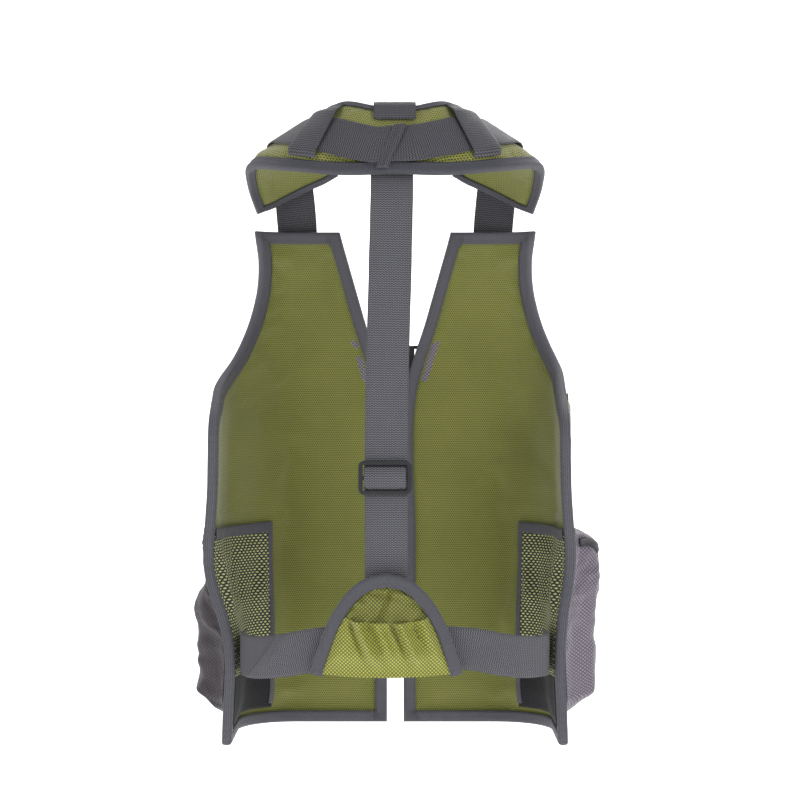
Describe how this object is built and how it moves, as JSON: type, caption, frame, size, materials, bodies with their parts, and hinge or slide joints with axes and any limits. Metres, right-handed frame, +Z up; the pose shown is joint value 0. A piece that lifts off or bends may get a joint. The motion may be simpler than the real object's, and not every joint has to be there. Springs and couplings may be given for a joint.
{
  "type": "strap-back fishing life vest",
  "caption": "Strap-back foam life vest with a padded collar, two foam fronts with pockets, a webbing back strap with a slider, a padded lumbar patch and a buckled waist belt.",
  "frame": {"origin": "middle of the neck opening at the height where the collar rests on the shoulders", "axes": "+Z up; the wearer faces -Y; +X is the wearer's left"},
  "size_m": [0.3964, 0.2905, 0.6201],
  "materials": {
    "green_mesh": "3-D spacer mesh",
    "green_ripstop": "diamond ripstop with a soft sheen",
    "dark_green": "diamond ripstop",
    "lilac_ripstop": "diamond ripstop",
    "webbing": "ribbed woven webbing",
    "binding": "woven edge tape",
    "open_mesh": "open mesh",
    "foam": "closed-cell foam",
    "dark_plastic": "moulded",
    "zip_tape": "coil zip and tape",
    "zip_metal": "black",
    "ring_metal": "satin"
  },
  "bodies": {
    "harness": {"collar_pad": "green_mesh", "collar_foam": "foam", "collar_loop": "webbing", "yoke_webbing_left": "webbing", "yoke_webbing_right": "webbing", "keeper_left": "webbing", "keeper_right": "webbing", "back_strap": "webbing", "lumbar_pad": "green_ripstop", "lumbar_foam": "foam", "lumbar_binding": "binding", "lumbar_pocket": "green_ripstop", "waist_belt_left": "webbing", "waist_belt_right": "webbing"},
    "back_slider": {"back_slider": "dark_plastic", "back_slider_loop": "webbing"},
    "chest_plug": {"chest_buckle_plug": "dark_plastic"},
    "chest_socket": {"chest_buckle_socket": "dark_plastic"},
    "waist_plug": {"waist_buckle_plug": "dark_plastic"},
    "waist_socket": {"waist_buckle_socket": "dark_plastic"},
    "chest_prong_upper": {"chest_prong_upper": "dark_plastic"},
    "chest_prong_lower": {"chest_prong_lower": "dark_plastic"},
    "waist_prong_upper": {"waist_prong_upper": "dark_plastic"},
    "waist_prong_lower": {"waist_prong_lower": "dark_plastic"},
    "front_left": {"front_shell_left": "green_mesh", "front_foam_left": "foam", "front_binding_left": "binding", "mesh_pocket_left": "open_mesh", "lower_pocket_left": "lilac_ripstop", "lower_zip_left": "zip_tape", "chest_pocket_left": "dark_green", "shoulder_strap_left": "webbing", "dring_tab_left": "webbing", "chest_strap_left": "webbing", "waist_strap_left": "webbing"},
    "shoulder_slider_left": {"shoulder_slider_left": "dark_plastic", "shoulder_slider_loop_left": "webbing"},
    "dring_left": {"dring_left": "ring_metal"},
    "zip_slider_left": {"zip_slider_left": "zip_metal"},
    "zip_pull_left": {"zip_pull_left": "zip_metal"},
    "chest_flap_left": {"chest_flap_left": "dark_green"},
    "front_right": {"front_shell_right": "green_mesh", "front_foam_right": "foam", "front_binding_right": "binding", "mesh_pocket_right": "open_mesh", "lower_pocket_right": "lilac_ripstop", "lower_zip_right": "zip_tape", "chest_pocket_right": "dark_green", "shoulder_strap_right": "webbing", "dring_tab_right": "webbing", "chest_strap_right": "webbing", "waist_strap_right": "webbing"},
    "shoulder_slider_right": {"shoulder_slider_right": "dark_plastic", "shoulder_slider_loop_right": "webbing"},
    "dring_right": {"dring_right": "ring_metal"},
    "zip_slider_right": {"zip_slider_right": "zip_metal"},
    "zip_pull_right": {"zip_pull_right": "zip_metal"},
    "chest_flap_right": {"chest_flap_right": "dark_green"}
  },
  "joints": [
    {"name": "front_left_open", "type": "hinge", "parent": "harness", "child": "front_left", "pos_m": [0.152, 0.014, -0.491], "axis": [-0.1162, -0.2235, 0.9678], "range_deg": [0, 45], "deforming": ["yoke_webbing_left", "waist_belt_left", "chest_strap_left", "waist_strap_left", "chest_prong_upper", "chest_prong_lower", "waist_prong_upper", "waist_prong_lower"]},
    {"name": "chest_plug_turn", "type": "hinge", "parent": "front_left", "child": "chest_plug", "pos_m": [0.027, -0.139, -0.205], "axis": [-0.1162, -0.2235, 0.9678], "range_deg": [-22.5, 0]},
    {"name": "waist_plug_turn", "type": "hinge", "parent": "front_left", "child": "waist_plug", "pos_m": [0.027, -0.139, -0.49], "axis": [-0.1162, -0.2235, 0.9678], "range_deg": [-22.5, 0]},
    {"name": "shoulder_slider_left_slide", "type": "slide", "parent": "front_left", "child": "shoulder_slider_left", "axis": [0, 0.3486, 0.9373], "range_m": [-0.016, 0.014]},
    {"name": "dring_left_swing", "type": "hinge", "parent": "front_left", "child": "dring_left", "pos_m": [0.1, -0.14041, -0.17052], "axis": [-1, 0, 0], "range_deg": [0, 120]},
    {"name": "zip_slider_left_slide", "type": "slide", "parent": "front_left", "child": "zip_slider_left", "axis": [0, 0, 1], "range_m": [0, 0.12]},
    {"name": "zip_pull_left_swing", "type": "hinge", "parent": "zip_slider_left", "child": "zip_pull_left", "pos_m": [0.086, -0.17913, -0.53155], "axis": [-1, 0, 0], "range_deg": [0, 110]},
    {"name": "chest_flap_left_lift", "type": "hinge", "parent": "front_left", "child": "chest_flap_left", "pos_m": [0.075, -0.15676, -0.234], "axis": [-1, 0, 0], "range_deg": [0, 110]},
    {"name": "front_right_open", "type": "hinge", "parent": "harness", "child": "front_right", "pos_m": [-0.152, 0.014, -0.491], "axis": [-0.1162, 0.2235, -0.9678], "range_deg": [0, 45], "deforming": ["yoke_webbing_right", "waist_belt_right", "chest_strap_right", "waist_strap_right"]},
    {"name": "chest_socket_turn", "type": "hinge", "parent": "front_right", "child": "chest_socket", "pos_m": [-0.027, -0.139, -0.205], "axis": [-0.1162, 0.2235, -0.9678], "range_deg": [-22.5, 0]},
    {"name": "waist_socket_turn", "type": "hinge", "parent": "front_right", "child": "waist_socket", "pos_m": [-0.027, -0.139, -0.49], "axis": [-0.1162, 0.2235, -0.9678], "range_deg": [-22.5, 0]},
    {"name": "shoulder_slider_right_slide", "type": "slide", "parent": "front_right", "child": "shoulder_slider_right", "axis": [0, 0.3486, 0.9373], "range_m": [-0.016, 0.014]},
    {"name": "dring_right_swing", "type": "hinge", "parent": "front_right", "child": "dring_right", "pos_m": [-0.1, -0.14041, -0.17052], "axis": [-1, 0, 0], "range_deg": [0, 120]},
    {"name": "zip_slider_right_slide", "type": "slide", "parent": "front_right", "child": "zip_slider_right", "axis": [0, 0, 1], "range_m": [0, 0.12]},
    {"name": "zip_pull_right_swing", "type": "hinge", "parent": "zip_slider_right", "child": "zip_pull_right", "pos_m": [-0.086, -0.17913, -0.53155], "axis": [-1, 0, 0], "range_deg": [0, 110]},
    {"name": "chest_flap_right_lift", "type": "hinge", "parent": "front_right", "child": "chest_flap_right", "pos_m": [-0.075, -0.15676, -0.234], "axis": [-1, 0, 0], "range_deg": [0, 110]},
    {"name": "back_slider_slide", "type": "slide", "parent": "harness", "child": "back_slider", "axis": [0, 0, 1], "range_m": [-0.02, 0.03]},
    {"name": "chest_prong_upper_squeeze", "type": "hinge", "parent": "chest_plug", "child": "chest_prong_upper", "pos_m": [0.0076, -0.139, -0.1941], "axis": [0, -1, 0], "range_deg": [0, 15], "stiffness_Nm_per_rad": 0.05},
    {"name": "chest_prong_lower_squeeze", "type": "hinge", "parent": "chest_plug", "child": "chest_prong_lower", "pos_m": [0.0076, -0.139, -0.2159], "axis": [0, 1, 0], "range_deg": [0, 15], "stiffness_Nm_per_rad": 0.05},
    {"name": "waist_prong_upper_squeeze", "type": "hinge", "parent": "waist_plug", "child": "waist_prong_upper", "pos_m": [0.0076, -0.139, -0.4716], "axis": [0, -1, 0], "range_deg": [0, 15], "stiffness_Nm_per_rad": 0.05},
    {"name": "waist_prong_lower_squeeze", "type": "hinge", "parent": "waist_plug", "child": "waist_prong_lower", "pos_m": [0.0076, -0.139, -0.5084], "axis": [0, 1, 0], "range_deg": [0, 15], "stiffness_Nm_per_rad": 0.05}
  ],
  "couplings": [
    {"joint": "chest_plug_turn", "follows": "front_left_open", "ratio": -0.5},
    {"joint": "waist_plug_turn", "follows": "front_left_open", "ratio": -0.5},
    {"joint": "chest_socket_turn", "follows": "front_left_open", "ratio": -0.5},
    {"joint": "waist_socket_turn", "follows": "front_left_open", "ratio": -0.5},
    {"joint": "front_right_open", "follows": "front_left_open", "ratio": 1},
    {"joint": "chest_prong_lower_squeeze", "follows": "chest_prong_upper_squeeze", "ratio": 1},
    {"joint": "waist_prong_lower_squeeze", "follows": "waist_prong_upper_squeeze", "ratio": 1}
  ]
}
